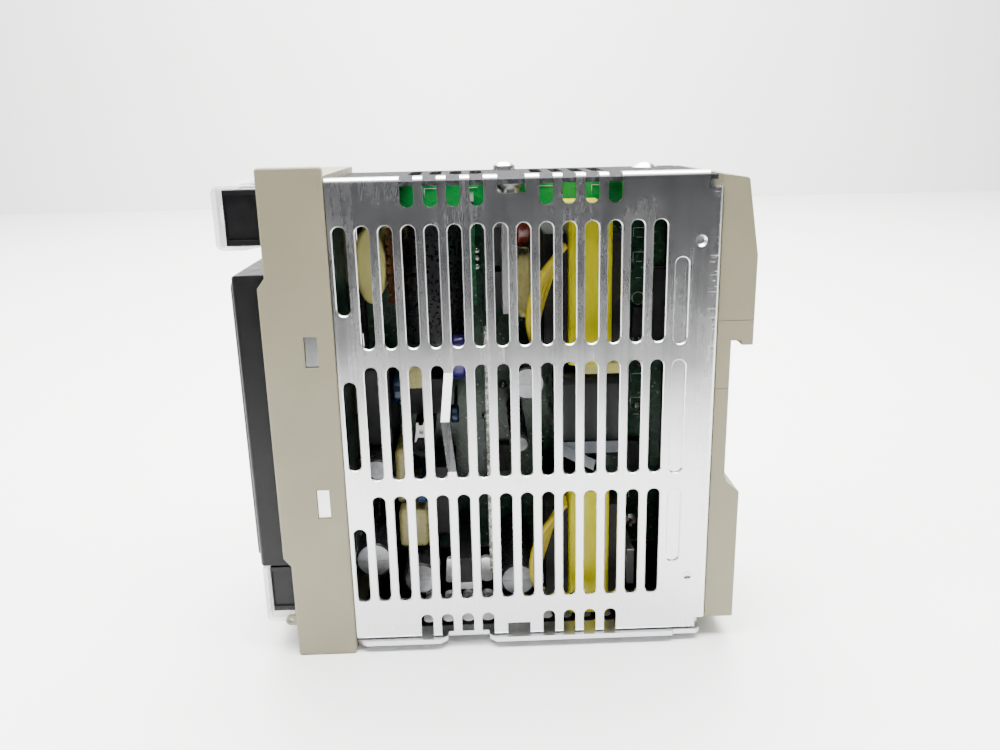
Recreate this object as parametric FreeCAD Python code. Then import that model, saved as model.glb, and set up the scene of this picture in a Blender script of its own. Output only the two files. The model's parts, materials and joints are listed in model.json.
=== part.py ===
import FreeCAD, Part
import os

# DIN rail power supply: a book-shaped unit, 50 wide, that stands on its narrow face.
# Millimetres. +Z up, front at -Y, rail mount at +Y, ventilated side panel at +X.
# The origin is at the middle of the bounding box's bottom.

V = FreeCAD.Vector
UP = V(0, 0, 1)
REAR = V(0, 1, 0)
SIDE = V(1, 0, 0)

# Driving dimensions
WIDTH = 50.0
HEIGHT = 117.0              # of the bezel's near side wall
BEZEL_TOP_Z = 115.0         # of the rest of the bezel
FRONT_Y = -59.4             # front of the upper terminal cover
REAR_Y = 59.4               # back of the rail hook
RAIL_HEIGHT = 35.0          # height of the rail that the mount grips
SHEET = 1.0                 # thickness of the aluminium sheet
RUN_GAP = 0.3               # clearance between pieces that slide past each other

# Front bezel
BEZEL_REAR_Y = -35.1
BEZEL_FACE_Y = -49.3
BEZEL_NOSE_Y = -51.0
BEZEL_WALL = 2.0
NOSE_Z = (24.0, 26.2, 91.3, 93.5)      # start and end of the two chamfers of the nose
CLIP_WINDOW_Z = ((36.3, 43.6), (73.1, 80.3))
CLIP_WINDOW_Y = (-41.8, -38.8)

# Sheet-metal case
PANEL_X = 24.2              # outer face of the side panel
CASE_FRONT_Y = -34.9
CASE_REAR_Y = 51.1
CASE_TOP_Z = 114.4
CASE_BOTTOM_Z = 1.9
BOTTOM_SHEET = 1.2
FLANGE = 4.0

# Ventilation slots
SLOT_PITCH = 5.0
SLOT_WIDTH = 3.0
SLOT_LENGTH = 27.4
SLOT_FIRST_Y = -32.5
SLOT_COLUMNS = 15
ROW_BOTTOM_Z = (13.6, 45.2, 76.8)
FIRST_COLUMN_Z = ((13.6, 32.8), (47.8, 69.2), (84.6, 104.2))
BLIND_SLOT_Z = ((21.9, 40.7), (44.9, 72.4), (76.2, 95.8))
EDGE_COLUMNS = (3, 4, 5, 6, 9, 10, 11, 12)
TOP_SLOT_Z = 107.9
BOTTOM_SLOT_Z = 9.65
BLIND_DEPTH = 0.5
RIM = 0.2                   # broken edge round each slot
BENT_COLUMN = 4             # the strip after this slot is pushed in

# Rear rail mount
SEAT_Y = 54.4               # plane that the rail lies against
GROOVE_TOP_Z = 76.4
GROOVE_BOTTOM_Z = GROOVE_TOP_Z - RAIL_HEIGHT
RAIL_LIP = 1.1
MOUNT_TOP_Z = 113.4
MOUNT_BOTTOM_Z = 5.9
MOUNT_HALF = 23.4

# Front
FRONT_HALF = 22.7           # half width of the pieces set in the bezel
PANEL_FACE_Y = -57.0
PANEL_Z = (23.4, 94.0)
UPPER_BLOCK_Z = (100.5, 112.4)
LOWER_BLOCK_Z = (11.3, 23.0)
UPPER_BLOCK_Y = -57.0
LOWER_BLOCK_Y = -54.9
BLOCK_REAR_Y = -43.0
UPPER_TERMINAL_X = (-14.4, -4.8, 4.8, 14.4)
LOWER_TERMINAL_X = (-13.0, 0.0, 13.0)
COVER_WALL = 0.8
PIN_DROP = 3.3              # how far the rear pins lie below the terminal screws
LOWER_COVER_Y = -56.7
LOWER_COVER_Z = (8.3, 22.9)

# Boards
BOARD_X = -19.6             # component face of the main board
BOARD = 1.6
POST_Y = (-30.0, 5.0, 40.0)
POST_Z = (12.0, 107.0)

# Components
CHOKE_OVAL = (-27.4, 94.1, 3.6, 8.9)       # centre y and z, half width and half height
TURNS = 8
TURN_PITCH = 2.25
LEAD_RADIUS = 0.75


def block(x0, x1, y0, y1, z0, z1):
    return Part.makeBox(x1 - x0, y1 - y0, z1 - z0, V(x0, y0, z0))


def rod(point, axis, radius, length):
    return Part.makeCylinder(radius, length, V(*point), axis)


def prism(points, x0, x1):
    """Solid with a (y, z) outline, from x0 to x1."""
    loop = [V(x0, y, z) for y, z in points]
    return Part.Face(Part.makePolygon(loop + loop[:1])).extrude(V(x1 - x0, 0, 0))


def plan(points, z0, z1):
    """Solid with an (x, y) outline, from z0 to z1."""
    loop = [V(x, y, z0) for x, y in points]
    return Part.Face(Part.makePolygon(loop + loop[:1])).extrude(V(0, 0, z1 - z0))


def fuse(shapes):
    whole = shapes[0]
    if len(shapes) > 1:
        whole = whole.fuse(shapes[1:]).removeSplitter()
    return whole


def group(shapes):
    return Part.makeCompound(shapes)


def cut(shape, tools):
    return shape.cut(Part.makeCompound(tools)) if tools else shape


def direction(edge):
    ends = edge.Vertexes
    if len(ends) < 2:
        return V(0, 0, 0)
    span = ends[1].Point - ends[0].Point
    return span.normalize() if span.Length > 1e-6 else V(0, 0, 0)


def along(edge, axis):
    return abs(direction(edge).dot(axis)) > 0.999


def rounded(shape, radius, pick):
    edges = [edge for edge in shape.Edges if pick(edge)]
    return shape.makeFillet(radius, edges) if edges else shape


def slot(y, z0, z1, x0, x1, width=SLOT_WIDTH):
    """Round-ended slot along Z, cut along X."""
    r = width / 2
    body = block(x0, x1, y - r, y + r, z0 + r, z1 - r)
    low = rod((x0, y, z0 + r), SIDE, r, x1 - x0)
    high = rod((x0, y, z1 - r), SIDE, r, x1 - x0)
    return fuse([body, low, high])


def slot_rim(y, z0, z1, x1):
    """Cutter that breaks the outer edge of a slot, along its whole outline."""
    r = SLOT_WIDTH / 2
    d = RIM
    sides = [(x1 - d, y - r), (x1, y - r - d), (x1, y + r + d), (x1 - d, y + r)]
    ends = [Part.makeCone(r, r + d, d, V(x1 - d, y, z), SIDE) for z in (z0 + r, z1 - r)]
    return [plan(sides, z0 + r, z1 - r)] + ends


def column_y(index):
    return SLOT_FIRST_Y + SLOT_PITCH * index


# ---------------------------------------------------------------- bezel

def front_bezel():
    lower0, lower1, upper0, upper1 = NOSE_Z
    side = [(BEZEL_REAR_Y, 0), (BEZEL_REAR_Y, HEIGHT), (BEZEL_FACE_Y, HEIGHT),
            (BEZEL_FACE_Y, upper1), (BEZEL_NOSE_Y, upper0), (BEZEL_NOSE_Y, lower1),
            (BEZEL_FACE_Y, lower0), (BEZEL_FACE_Y, 0)]
    half = WIDTH / 2
    shell = prism(side, -half, half)
    shell = rounded(shell, 0.8, lambda e: along(e, SIDE) and (
        e.Vertexes[0].Z in (0, HEIGHT) or abs(e.Vertexes[0].Z - HEIGHT) < 0.01))
    shell = rounded(shell, 0.6, lambda e: abs(abs(e.CenterOfMass.x) - half) < 0.01
                    and e.CenterOfMass.y < BEZEL_FACE_Y + 0.01)
    inner = half - BEZEL_WALL
    above_top = block(-half - 1, inner, BEZEL_NOSE_Y - 1, BEZEL_REAR_Y + 1, BEZEL_TOP_Z, HEIGHT + 1)
    hollow = block(-inner, inner, BEZEL_FACE_Y + 3, BEZEL_REAR_Y, BEZEL_WALL, BEZEL_TOP_Z - BEZEL_WALL)
    front_hole = block(-inner, inner, BEZEL_NOSE_Y, BEZEL_FACE_Y + 3, LOWER_BLOCK_Z[0] - 0.1,
                       PANEL_Z[1] + 0.2)
    top_hole = block(-inner, inner, BEZEL_NOSE_Y, BEZEL_FACE_Y + 3, UPPER_BLOCK_Z[0] - 0.5, BEZEL_TOP_Z - BEZEL_WALL)
    windows = [block(-half, half, CLIP_WINDOW_Y[0], CLIP_WINDOW_Y[1], z0, z1)
               for z0, z1 in CLIP_WINDOW_Z]
    shell = cut(shell, [above_top, hollow, front_hole, top_hole] + windows)
    return fuse([shell] + cover_lugs())


def cover_lugs():
    """Lugs under the lower block that carry the lower cover's pins."""
    y, z = lower_cover_axis()
    lugs = []
    for side in (-1, 1):
        x0 = min(side * 23.1, side * 24.3)
        ear = fuse([rod((x0, y, z), SIDE, 1.2, 1.2), block(x0, x0 + 1.2, y, BEZEL_FACE_Y + 0.5, z - 1.2, z + 1.2)])
        lugs.append(ear.cut(rod((x0 - 1, y, z), SIDE, 0.65, 4)))
    return lugs


# ---------------------------------------------------------------- case

def slot_cutters(x0, x1):
    cutters = []
    for column in range(SLOT_COLUMNS):
        for row, bottom in enumerate(ROW_BOTTOM_Z):
            z0, z1 = FIRST_COLUMN_Z[row] if column == 0 else (bottom, bottom + SLOT_LENGTH)
            cutters.append(slot(column_y(column), z0, z1, x0, x1))
            cutters += slot_rim(column_y(column), z0, z1, PANEL_X)
    return cutters


def edge_slot_cutters():
    """Slots that run round the panel's top and bottom bends."""
    r = SLOT_WIDTH / 2
    x0 = PANEL_X - FLANGE - 1
    cutters = []
    for column in EDGE_COLUMNS:
        y = column_y(column)
        cutters.append(block(x0, PANEL_X + 1, y - r, y + r, TOP_SLOT_Z + r, CASE_TOP_Z + 1))
        cutters.append(rod((PANEL_X - SHEET - 1, y, TOP_SLOT_Z + r), SIDE, r, SHEET + 2))
        cutters.append(block(x0, PANEL_X + 1, y - r, y + r, CASE_BOTTOM_Z, BOTTOM_SLOT_Z - r))
        cutters.append(rod((PANEL_X - SHEET - 1, y, BOTTOM_SLOT_Z - r), SIDE, r, SHEET + 2))
    return cutters


def clip_tongues(outer_x):
    """Joggled front edge with two latch tabs, tucked inside the bezel; outer_x is signed."""
    side = 1 if outer_x > 0 else -1
    near = abs(outer_x)

    def strip(x0, x1, y0, y1, z0, z1):
        lo = min(side * x0, side * x1)
        hi = max(side * x0, side * x1)
        return block(lo, hi, y0, y1, z0, z1)

    front, rear = CLIP_WINDOW_Y
    parts = []
    for z0, z1 in CLIP_WINDOW_Z:
        parts.append(strip(near - 2.5, near, CASE_FRONT_Y, CASE_FRONT_Y + SHEET, z0 - 3, z1 + 3))
        parts.append(strip(near - 2.5, near - 1.5, -45.0, CASE_FRONT_Y + 0.2, z0 - 3, z1 + 3))
        parts.append(strip(near - 1.6, near + 0.2, front + 0.12, rear - 0.12, z0 + 0.12, z1 - 0.12))
    return parts


def side_panel():
    x0, x1 = PANEL_X - SHEET, PANEL_X
    bottom = CASE_BOTTOM_Z + BOTTOM_SHEET + 0.1
    rear = CASE_REAR_Y
    sheet = block(x0, x1, CASE_FRONT_Y, rear, bottom, CASE_TOP_Z)
    top = block(x1 - FLANGE, x1, CASE_FRONT_Y, 47.9, CASE_TOP_Z - SHEET, CASE_TOP_Z)
    low = block(x1 - FLANGE, x1, CASE_FRONT_Y, 48.5, bottom, bottom + SHEET)
    back = block(x1 - FLANGE - 1, x1, rear - SHEET, rear, 6.3, 110.9)
    shape = fuse([sheet, top, low, back])
    shape = shape.cut(block(x0 - 6, x1 + 1, 47.9, rear + 1, 110.9, CASE_TOP_Z + 1))
    shape = shape.cut(block(x0 - 6, x1 + 1, 48.5, rear + 1, bottom - 1, 6.3))

    def outer_bend(edge):
        middle = edge.CenterOfMass
        if abs(middle.x - x1) > 0.01:
            return False
        level = abs(middle.z - CASE_TOP_Z) < 0.01 or abs(middle.z - bottom) < 0.01
        upright = abs(middle.y - rear) < 0.01 and along(edge, UP)
        return (level and along(edge, REAR)) or upright

    shape = rounded(shape, 1.1, outer_bend)
    shape = rounded(shape, 1.8, lambda e: along(e, SIDE) and e.Length < 1.5
                    and abs(e.CenterOfMass.z - 110.9) < 0.01 and e.CenterOfMass.y > 49)
    notch_top = block(x1 - FLANGE - 1, x1 + 1, 2.0, 8.0, 110.6, CASE_TOP_Z + 1)
    notch_low = block(x1 - FLANGE - 1, x1 + 1, 2.3, 7.9, bottom - 1, 6.6)
    hole = rod((x0 - 1, 46.5, 99.3), SIDE, 0.75, 3)
    countersink = Part.makeCone(0.75, 1.3, 0.5, V(x1 - 0.5, 46.5, 99.3), SIDE)
    dimple = Part.makeSphere(1.6, V(x1 + 1.2, 46.3, 17.9))
    blind = []
    for z0, z1 in BLIND_SLOT_Z:
        blind.append(slot(column_y(SLOT_COLUMNS), z0, z1, x1 - BLIND_DEPTH, x1 + 1))
        blind += slot_rim(column_y(SLOT_COLUMNS), z0, z1, x1)
    cutters = slot_cutters(x0 - 1, x1 + 1) + edge_slot_cutters() + blind
    cutters += [notch_top, notch_low, hole, countersink, dimple]
    shape = cut(shape, cutters)
    shape = push_in_strip(shape)
    return fuse([shape] + clip_tongues(PANEL_X))


def push_in_strip(shape):
    """Replace one strip of the middle row by one that a knock has folded in and sideways."""
    y0 = column_y(BENT_COLUMN) + SLOT_WIDTH / 2
    y1 = column_y(BENT_COLUMN + 1) - SLOT_WIDTH / 2
    end = SLOT_WIDTH / 2 + RIM
    z0 = ROW_BOTTOM_Z[1] + end
    z1 = z0 + SLOT_LENGTH - 2 * end
    fold = z0 + 0.48 * (z1 - z0)
    shift, depth = -1.3, 2.4
    x0, x1 = PANEL_X - SHEET, PANEL_X
    shape = shape.cut(block(x0 - 1, x1 + 1, y0 - 0.4, y1 + 0.4, z0, z1))

    def section(y_shift, x_shift, z):
        points = [V(x0 + x_shift, y0 + y_shift, z), V(x1 + x_shift, y0 + y_shift, z),
                  V(x1 + x_shift, y1 + y_shift, z), V(x0 + x_shift, y1 + y_shift, z)]
        return Part.makePolygon(points + points[:1])

    low = Part.makeLoft([section(0, 0, z0 - 0.01), section(shift, -depth, fold)], True, True)
    high = Part.makeLoft([section(shift, -depth, fold), section(0, 0, z1 + 0.01)], True, True)
    return fuse([shape, low, high])


def chassis():
    """Far wall, top, bottom and back in one folded sheet, open at the front and near side."""
    far = -PANEL_X
    top = CASE_TOP_Z - SHEET
    floor = CASE_BOTTOM_Z + BOTTOM_SHEET
    wall = block(far, far + SHEET, CASE_FRONT_Y, 49.9, CASE_BOTTOM_Z, top)
    roof = block(far, PANEL_X - SHEET - 0.05, CASE_FRONT_Y, 49.9, top - SHEET, top)
    back = block(far, 21.0, 48.9, 49.9, CASE_BOTTOM_Z, top)
    base = plan(bottom_outline(far), CASE_BOTTOM_Z, floor)
    tab_x = PANEL_X - SHEET - 0.1
    tab = fuse([block(tab_x - SHEET, tab_x, 44.3, 49.9, 94.5, 104.0), block(20.5, tab_x, 48.9, 49.9, 94.5, 104.0)])
    shape = fuse([wall, roof, back, base, tab])
    shape = rounded(shape, 1.0, lambda e: along(e, REAR) and abs(e.CenterOfMass.x - far) < 0.01
                    and (abs(e.CenterOfMass.z - top) < 0.01 or abs(e.CenterOfMass.z - CASE_BOTTOM_Z) < 0.01))
    cutters = []
    for column in EDGE_COLUMNS:
        y = column_y(column)
        for x0, x1 in ((-19.0, -3.0), (1.0, 17.0)):
            cutters.append(vent(y, x0, x1, CASE_BOTTOM_Z - 1, floor + 1))
        cutters.append(vent(y, -19.0, -3.0, top - SHEET - 1, top + 1))
    for y in POST_Y:
        for z in POST_Z:
            cutters.append(rod((far - 1, y, z), SIDE, 1.6, 3))
    cutters.append(rod((-20.0, 5.0, top - 3), UP, 1.6, 6))
    cutters.append(rod((-18.0, 41.5, top - 3), UP, 1.65, 6))
    cutters.append(rod((14.0, 5.0, CASE_BOTTOM_Z - 2), UP, 1.6, 6))
    for x in (-14, 14):
        for z in (25, 95):
            cutters.append(rod((x, 48, z), REAR, 1.6, 4))
    shape = cut(shape, cutters)
    boss = fuse([rod((20.0, 5.0, top - SHEET - 2.2), UP, 1.9, 2.2),
                 Part.makeCone(1.9, 3.0, 1.2, V(20.0, 5.0, top - SHEET - 1.2), UP)])
    return fuse([shape, boss] + clip_tongues(-PANEL_X))


def vent(y, x0, x1, z0, z1):
    """Round-ended slot along X, cut along Z."""
    r = SLOT_WIDTH / 2
    return fuse([block(x0 + r, x1 - r, y - r, y + r, z0, z1), rod((x0 + r, y, z0), UP, r, z1 - z0),
                 rod((x1 - r, y, z0), UP, r, z1 - z0)])


def bottom_outline(far):
    """Outline of the bottom plate, with its near edge cut back beside two feet."""
    edge = WIDTH / 2
    inset = 21.5
    return [(far, CASE_FRONT_Y), (edge - 1.6, CASE_FRONT_Y), (edge, -32.6), (edge, -14.4),
            (edge - 1.6, -12.6), (inset, -12.4), (inset, -2.4), (edge - 1.6, -2.2),
            (edge, -0.6), (edge, 42.9), (edge - 0.7, 43.4), (edge - 0.7, 49.0),
            (edge - 1.6, 49.9), (far, 49.9)]


def pan_screw(point, axis, shank_r, length, head_r, head_h):
    """Screw with a domed head; the head stands out along axis from point."""
    back = V(*point) - axis * length
    dome = Part.makeSphere(head_r * 1.35, V(*point) + axis * (head_h - head_r * 1.35))
    head = rod(point, axis, head_r, head_h).common(dome)
    cross = cross_recess(V(*point) + axis * (head_h - 1.2), axis, head_r * 0.55, 2)
    return fuse([head, Part.makeCylinder(shank_r, length + 0.2, back, axis)]).cut(cross)


def cross_recess(point, axis, reach, depth):
    """Cutter for a crosshead recess."""
    wide = 0.9
    blade = Part.makeBox(2 * reach, wide, depth, V(-reach, -wide / 2, 0))
    both = blade.fuse(Part.makeBox(wide, 2 * reach, depth, V(-wide / 2, -reach, 0)))
    both.Placement = FreeCAD.Placement(point, FreeCAD.Rotation(UP, axis))
    return both


def case_screws():
    """Top and bottom case screws, and the four that hold the rail mount."""
    top = pan_screw((-20.0, 5.0, CASE_TOP_Z - SHEET), UP, 1.5, 2.4, 2.9, 2.4)
    base = pan_screw((14.0, 5.0, CASE_BOTTOM_Z), V(0, 0, -1), 1.5, 5, 2.8, 1.7)
    mount = [pan_screw((x, 48.9, z), V(0, -1, 0), 1.15, 4.2, 2.4, 1.5) for x in (-14, 14) for z in (25, 95)]
    return group([top, base] + mount)


def case_rivet():
    body = rod((-18.0, 41.5, CASE_TOP_Z - SHEET - 3), UP, 1.6, 3)
    dome = Part.makeSphere(4.4, V(-18.0, 41.5, CASE_TOP_Z - SHEET - 3.0))
    dome = dome.common(block(-24, -12, 35, 48, CASE_TOP_Z - SHEET, CASE_TOP_Z + 3))
    return fuse([body, dome])


# ---------------------------------------------------------------- rear mount

def rear_mount():
    lip_z = GROOVE_TOP_Z - RAIL_LIP
    side = [(CASE_REAR_Y + 0.1, MOUNT_BOTTOM_Z), (CASE_REAR_Y + 0.1, MOUNT_TOP_Z), (56.7, 112.6),
            (REAR_Y, 95.6), (REAR_Y, lip_z), (56.9, lip_z), (56.9, GROOVE_TOP_Z),
            (SEAT_Y, GROOVE_TOP_Z), (SEAT_Y, 43.4), (55.0, 41.9), (58.1, 39.2), (58.1, MOUNT_BOTTOM_Z)]
    shape = prism(side, -MOUNT_HALF, MOUNT_HALF)
    shape = rounded(shape, 0.8, lambda e: along(e, SIDE) and e.CenterOfMass.y > 56
                    and e.CenterOfMass.z > 90)
    stem = block(-8.3, 8.3, 53.0, 62, MOUNT_BOTTOM_Z - 1, 45.5)
    wide = block(-10.3, 10.3, 52.0, 53.7, MOUNT_BOTTOM_Z - 1, 41.5)
    screws = [rod((x, 50, z), REAR, 1.2, 4) for x in (-14, 14) for z in (25, 95)]
    relief = [block(-MOUNT_HALF + 2.5, -4, 57.0, 62, 80, 108), block(4, MOUNT_HALF - 2.5, 57.0, 62, 80, 108)]
    seams = [block(-MOUNT_HALF - 1, -MOUNT_HALF + 0.12, 50, 60, z, z + 0.12) for z in (65.0, 81.0)]
    seams += [block(MOUNT_HALF - 0.12, MOUNT_HALF + 1, 50, 60, z, z + 0.12) for z in (65.0, 81.0)]
    shape = cut(shape, [stem, wide] + screws + relief + seams)
    stop = block(-2.5, 2.5, 51.9, 55.6, 14.0, 16.0)
    return fuse([shape, stop])


def rail_stopper():
    stem = [(53.1, 6.4), (53.1, 41.2), (54.5, 41.2), (55.9, 42.3), (58.1, 39.9), (58.1, 6.4)]
    body = prism(stem, -8.0, 8.0)
    flange = block(-10.0, 10.0, 52.2, 53.4, 8.0, 35.5)
    slider = fuse([body, flange])
    pocket = block(-3.0, 3.0, 52.0, 56.2, 13.4, 30.0)
    tool_slot = block(-3.5, 3.5, 56.6, 60.0, 8.6, 11.0)
    grips = [block(-6, 6, 57.6, 60, z, z + 0.8) for z in (18.0, 20.0, 22.0, 24.0)]
    return cut(slider, [pocket, tool_slot] + grips)


def stopper_spring():
    turns, wire, radius = 5, 0.3, 1.3
    z0, z1 = 16.3, 29.7
    helix = Part.makeHelix((z1 - z0 - 2 * wire) / turns, z1 - z0 - 2 * wire, radius)
    circle = Part.Wire(Part.makeCircle(wire, V(radius, 0, 0), REAR))
    coil = Part.Wire(helix).makePipeShell([circle], True, True)
    coil.translate(V(0, 54.3, z0 + wire))
    return coil


# ---------------------------------------------------------------- front pieces

def terminal_block(z0, z1, front, centres, half_pocket, screw_z, opens_up):
    body = block(-FRONT_HALF, FRONT_HALF, front, BLOCK_REAR_Y, z0, z1)
    cutters = []
    for x in centres:
        low, high = screw_z - 4.2, screw_z + 4.2
        if opens_up:
            high = z1 + 1
        else:
            low = z0 - 1
        cutters.append(block(x - half_pocket, x + half_pocket, front - 1, front + 7, low, high))
        cutters.append(rod((x, front + 6, screw_z), REAR, 2.5, 7.4))
        cutters.append(rod((x, front + 6.5, screw_z - PIN_DROP), REAR, 0.75, 12))
    for side in (-1, 1):
        lo = min(side * (FRONT_HALF - 0.5), side * (FRONT_HALF + 1))
        cutters.append(block(lo, lo + 1.5, front + 0.3, -48, z0 + 1.2, z1 - 1.0))
    return cut(body, cutters)


def terminal_clamps(front, centres, half_pocket, screw_z):
    """Tapped clamp plates and loose square washers."""
    pieces = []
    for x in centres:
        plate = block(x - half_pocket + 0.2, x + half_pocket - 0.2, front + 6, front + 7,
                      screw_z - 4, screw_z + 4)
        washer = block(x - 3.4, x + 3.4, front + 5.2, front + 6, screw_z - 3.6, screw_z + 3.6)
        for piece, bore in ((plate, 2.07), (washer, 2.3)):
            pieces.append(piece.cut(rod((x, front + 4, screw_z), REAR, bore, 4)))
    return pieces


def terminal_pins(front, centres, screw_z):
    """Pins from each clamp to the terminal board."""
    rear = BLOCK_REAR_Y + 5.4
    return [rod((x, front + 7, screw_z - PIN_DROP), REAR, 0.7, rear - front - 7) for x in centres]


def terminal_screw(x, z, front):
    point = V(x, front + 5.1, z)
    head = rod((x, front + 2.7, z), REAR, 3.2, 2.4)
    head = rounded(head, 0.4, lambda e: abs(e.CenterOfMass.y - front - 2.7) < 0.01)
    shank = rod((x, point.y - 0.1, z), REAR, 2.0, 7.0)
    recess = cross_recess(V(x, front + 3.9, z), V(0, -1, 0), 1.9, 2)
    slit = block(x - 3.5, x + 3.5, front + 2, front + 3.4, z - 0.4, z + 0.4)
    return cut(fuse([head, shank]), [recess, slit])


def upper_cover():
    """Clear guard wrapped round the upper block; it pulls off forwards."""
    half = FRONT_HALF - 0.2
    top, low = 113.4, 99.5
    rear = BEZEL_FACE_Y - 0.1
    outer = [(FRONT_Y, low), (FRONT_Y, top), (rear, top - 0.3), (rear, low + 0.7),
             (-53.0, low)]
    shell = prism(outer, -half, half)
    shell = rounded(shell, 1.6, lambda e: along(e, SIDE) and e.CenterOfMass.y < FRONT_Y + 0.01)
    wall = COVER_WALL
    inner = [(FRONT_Y + wall + 0.2, low + wall), (FRONT_Y + wall + 0.2, top - wall), (rear + 1, top - wall),
             (rear + 1, 100.3)]
    shell = shell.cut(prism(inner, -half - 1, half + 1))
    notches = [block(x - 3, x + 3, -54.5, rear + 1, top - 2, top + 1) for x in UPPER_TERMINAL_X]
    driver_holes = [rod((x, FRONT_Y - 1, 106.6), REAR, 2.4, 3) for x in UPPER_TERMINAL_X]
    ribs = [block(x - 0.3, x + 0.3, FRONT_Y + 0.5, FRONT_Y + 1.6, 101.5, 111.6) for x in (-9.6, 0, 9.6)]
    return fuse([cut(shell, notches + driver_holes)] + ribs)


def lower_cover_axis():
    return BEZEL_FACE_Y - 1.4, LOWER_COVER_Z[0] + 1.0


def lower_cover():
    """Clear flap that turns down about two pins at its lower rear edge."""
    half = FRONT_HALF - 0.2
    z0, z1 = LOWER_COVER_Z
    axis_y, axis_z = lower_cover_axis()
    outer = [(LOWER_COVER_Y, z0), (LOWER_COVER_Y, z1), (LOWER_COVER_Y + 1.0, z1),
             (LOWER_COVER_Y + 1.0, z0 + 1.0), (axis_y, z0 + 1.0), (axis_y, z0)]
    shell = prism(outer, -half, half)
    shell = rounded(shell, 1.5, lambda e: along(e, SIDE) and e.CenterOfMass.y < LOWER_COVER_Y + 0.01
                    and e.CenterOfMass.z < z0 + 0.01)
    barrel = rod((-half, axis_y, axis_z), SIDE, 1.0, 2 * half)
    pins = rod((-24.2, axis_y, axis_z), SIDE, 0.6, 48.4)
    holes = [rod((x, LOWER_COVER_Y - 1, 17.2), REAR, 2.4, 3) for x in LOWER_TERMINAL_X]
    notches = [block(x - 3, x + 3, -55, -52.4, z0 - 1, z0 + 2) for x in LOWER_TERMINAL_X]
    return cut(fuse([shell, barrel, pins]), holes + notches)


KEY_X = (-11.0, 0.0, 11.0)
KEY_Z = 66.0
KEY_HALF = (3.4, 2.3)
WINDOW = (-14.0, 14.0, 74.0, 87.5)
LENS_X = (-11.0, 0.0, 11.0)
LENS_Z = 56.0
TRIMMER = (0.0, 42.0)


def front_openings(grow):
    """Holes through the front for the window, keys, lenses and trimmer."""
    x0, x1, z0, z1 = WINDOW
    cutters = [block(x0 - grow, x1 + grow, -60, -54, z0 - grow, z1 + grow)]
    wide, tall = KEY_HALF
    gap = RUN_GAP + grow
    for x in KEY_X:
        cutters.append(block(x - wide - gap, x + wide + gap, -60, -54, KEY_Z - tall - gap, KEY_Z + tall + gap))
    for x in LENS_X:
        cutters.append(rod((x, -60, LENS_Z), REAR, 1.3 + grow, 6))
    cutters.append(rod((TRIMMER[0], -60, TRIMMER[1]), REAR, 3.2 + grow, 6))
    return cutters


def front_panel():
    z0, z1 = PANEL_Z
    shell = block(-FRONT_HALF, FRONT_HALF, PANEL_FACE_Y, -45.0, z0, z1)
    shell = rounded(shell, 0.8, lambda e: abs(e.CenterOfMass.y - PANEL_FACE_Y) < 0.01)
    hollow = block(-FRONT_HALF + 2, FRONT_HALF - 2, PANEL_FACE_Y + 2, -44, z0 + 2, z1 - 2)
    return cut(shell, [hollow] + front_openings(0.0))


def face_plate():
    plate = block(-21.6, 21.6, PANEL_FACE_Y - 0.5, PANEL_FACE_Y, 25.8, 92.3)
    plate = rounded(plate, 1.5, lambda e: along(e, REAR))
    return cut(plate, front_openings(0.2))


def display_window():
    x0, x1, z0, z1 = WINDOW
    pane = block(x0 + 0.1, x1 - 0.1, -57.3, -55.0, z0 + 0.1, z1 - 0.1)
    return rounded(pane, 0.5, lambda e: abs(e.CenterOfMass.y + 57.3) < 0.01)


def display_module():
    body = block(-13.0, 13.0, -54.9, -50.7, 74.5, 87.0)
    digits = []
    for centre in (-8.0, 0.0, 8.0):
        digits += segment_slots(centre, 80.7)
    return cut(body, digits)


def segment_slots(x, z):
    """Seven light slots of one numeral."""
    wide, tall, stroke = 1.9, 3.6, 0.7
    bars = [block(x - wide, x + wide, -56, -54.5, z + dz - stroke / 2, z + dz + stroke / 2)
            for dz in (-tall, 0, tall)]
    for dx in (-wide - 0.5, wide + 0.5):
        for low in (-tall + 0.5, 0.5):
            bars.append(block(x + dx - stroke / 2, x + dx + stroke / 2, -56, -54.5,
                              z + low, z + low + tall - 1.0))
    return bars


def push_key(x):
    wide, tall = KEY_HALF
    cap = block(x - wide, x + wide, -58.1, -54.6, KEY_Z - tall, KEY_Z + tall)
    cap = rounded(cap, 0.5, lambda e: abs(e.CenterOfMass.y + 58.1) < 0.01)
    flange = block(x - wide - 0.9, x + wide + 0.9, -54.7, -53.6, KEY_Z - tall - 0.9, KEY_Z + tall + 0.9)
    return fuse([cap, flange])


def key_switches():
    return group([block(x - 3, x + 3, -52.7, -50.6, KEY_Z - 3, KEY_Z + 3) for x in KEY_X])


def indicator_lenses():
    return group([rounded(rod((x, -58.0, LENS_Z), REAR, 1.25, 7.4), 0.5,
                          lambda e: abs(e.CenterOfMass.y + 58.0) < 0.01) for x in LENS_X])


def trimmer_body():
    x, z = TRIMMER
    body = block(x - 4.6, x + 4.6, -54.8, -50.6, z - 4.6, z + 4.6)
    return body.cut(rod((x, -55.5, z), REAR, 2.68, 3.2))


def voltage_trimmer():
    x, z = TRIMMER
    rotor = rod((x, -56.6, z), REAR, 2.6, 4.0)
    slit = block(x - 2.0, x + 2.0, -57, -55.6, z - 0.4, z + 0.4)
    cross = block(x - 0.4, x + 0.4, -57, -55.6, z - 2.0, z + 2.0)
    notch = rod((x, -57, z + 2.6), REAR, 0.5, 1.5)
    return cut(rotor, [slit, cross, notch])


def control_board():
    board = block(-20.0, 20.0, -50.6, -49.0, 28.0, 90.0)
    return cut(board, [rod((x, -52, z), REAR, 1.2, 5) for x in (-18, 18) for z in (31, 87)])


def terminal_board():
    board = block(-20.5, 20.5, -39.8, -38.2, 9.0, 110.0)
    pins = [rod((x, -45, z), REAR, 0.75, 9) for x, z in pin_places()]
    return cut(board, pins)


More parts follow.
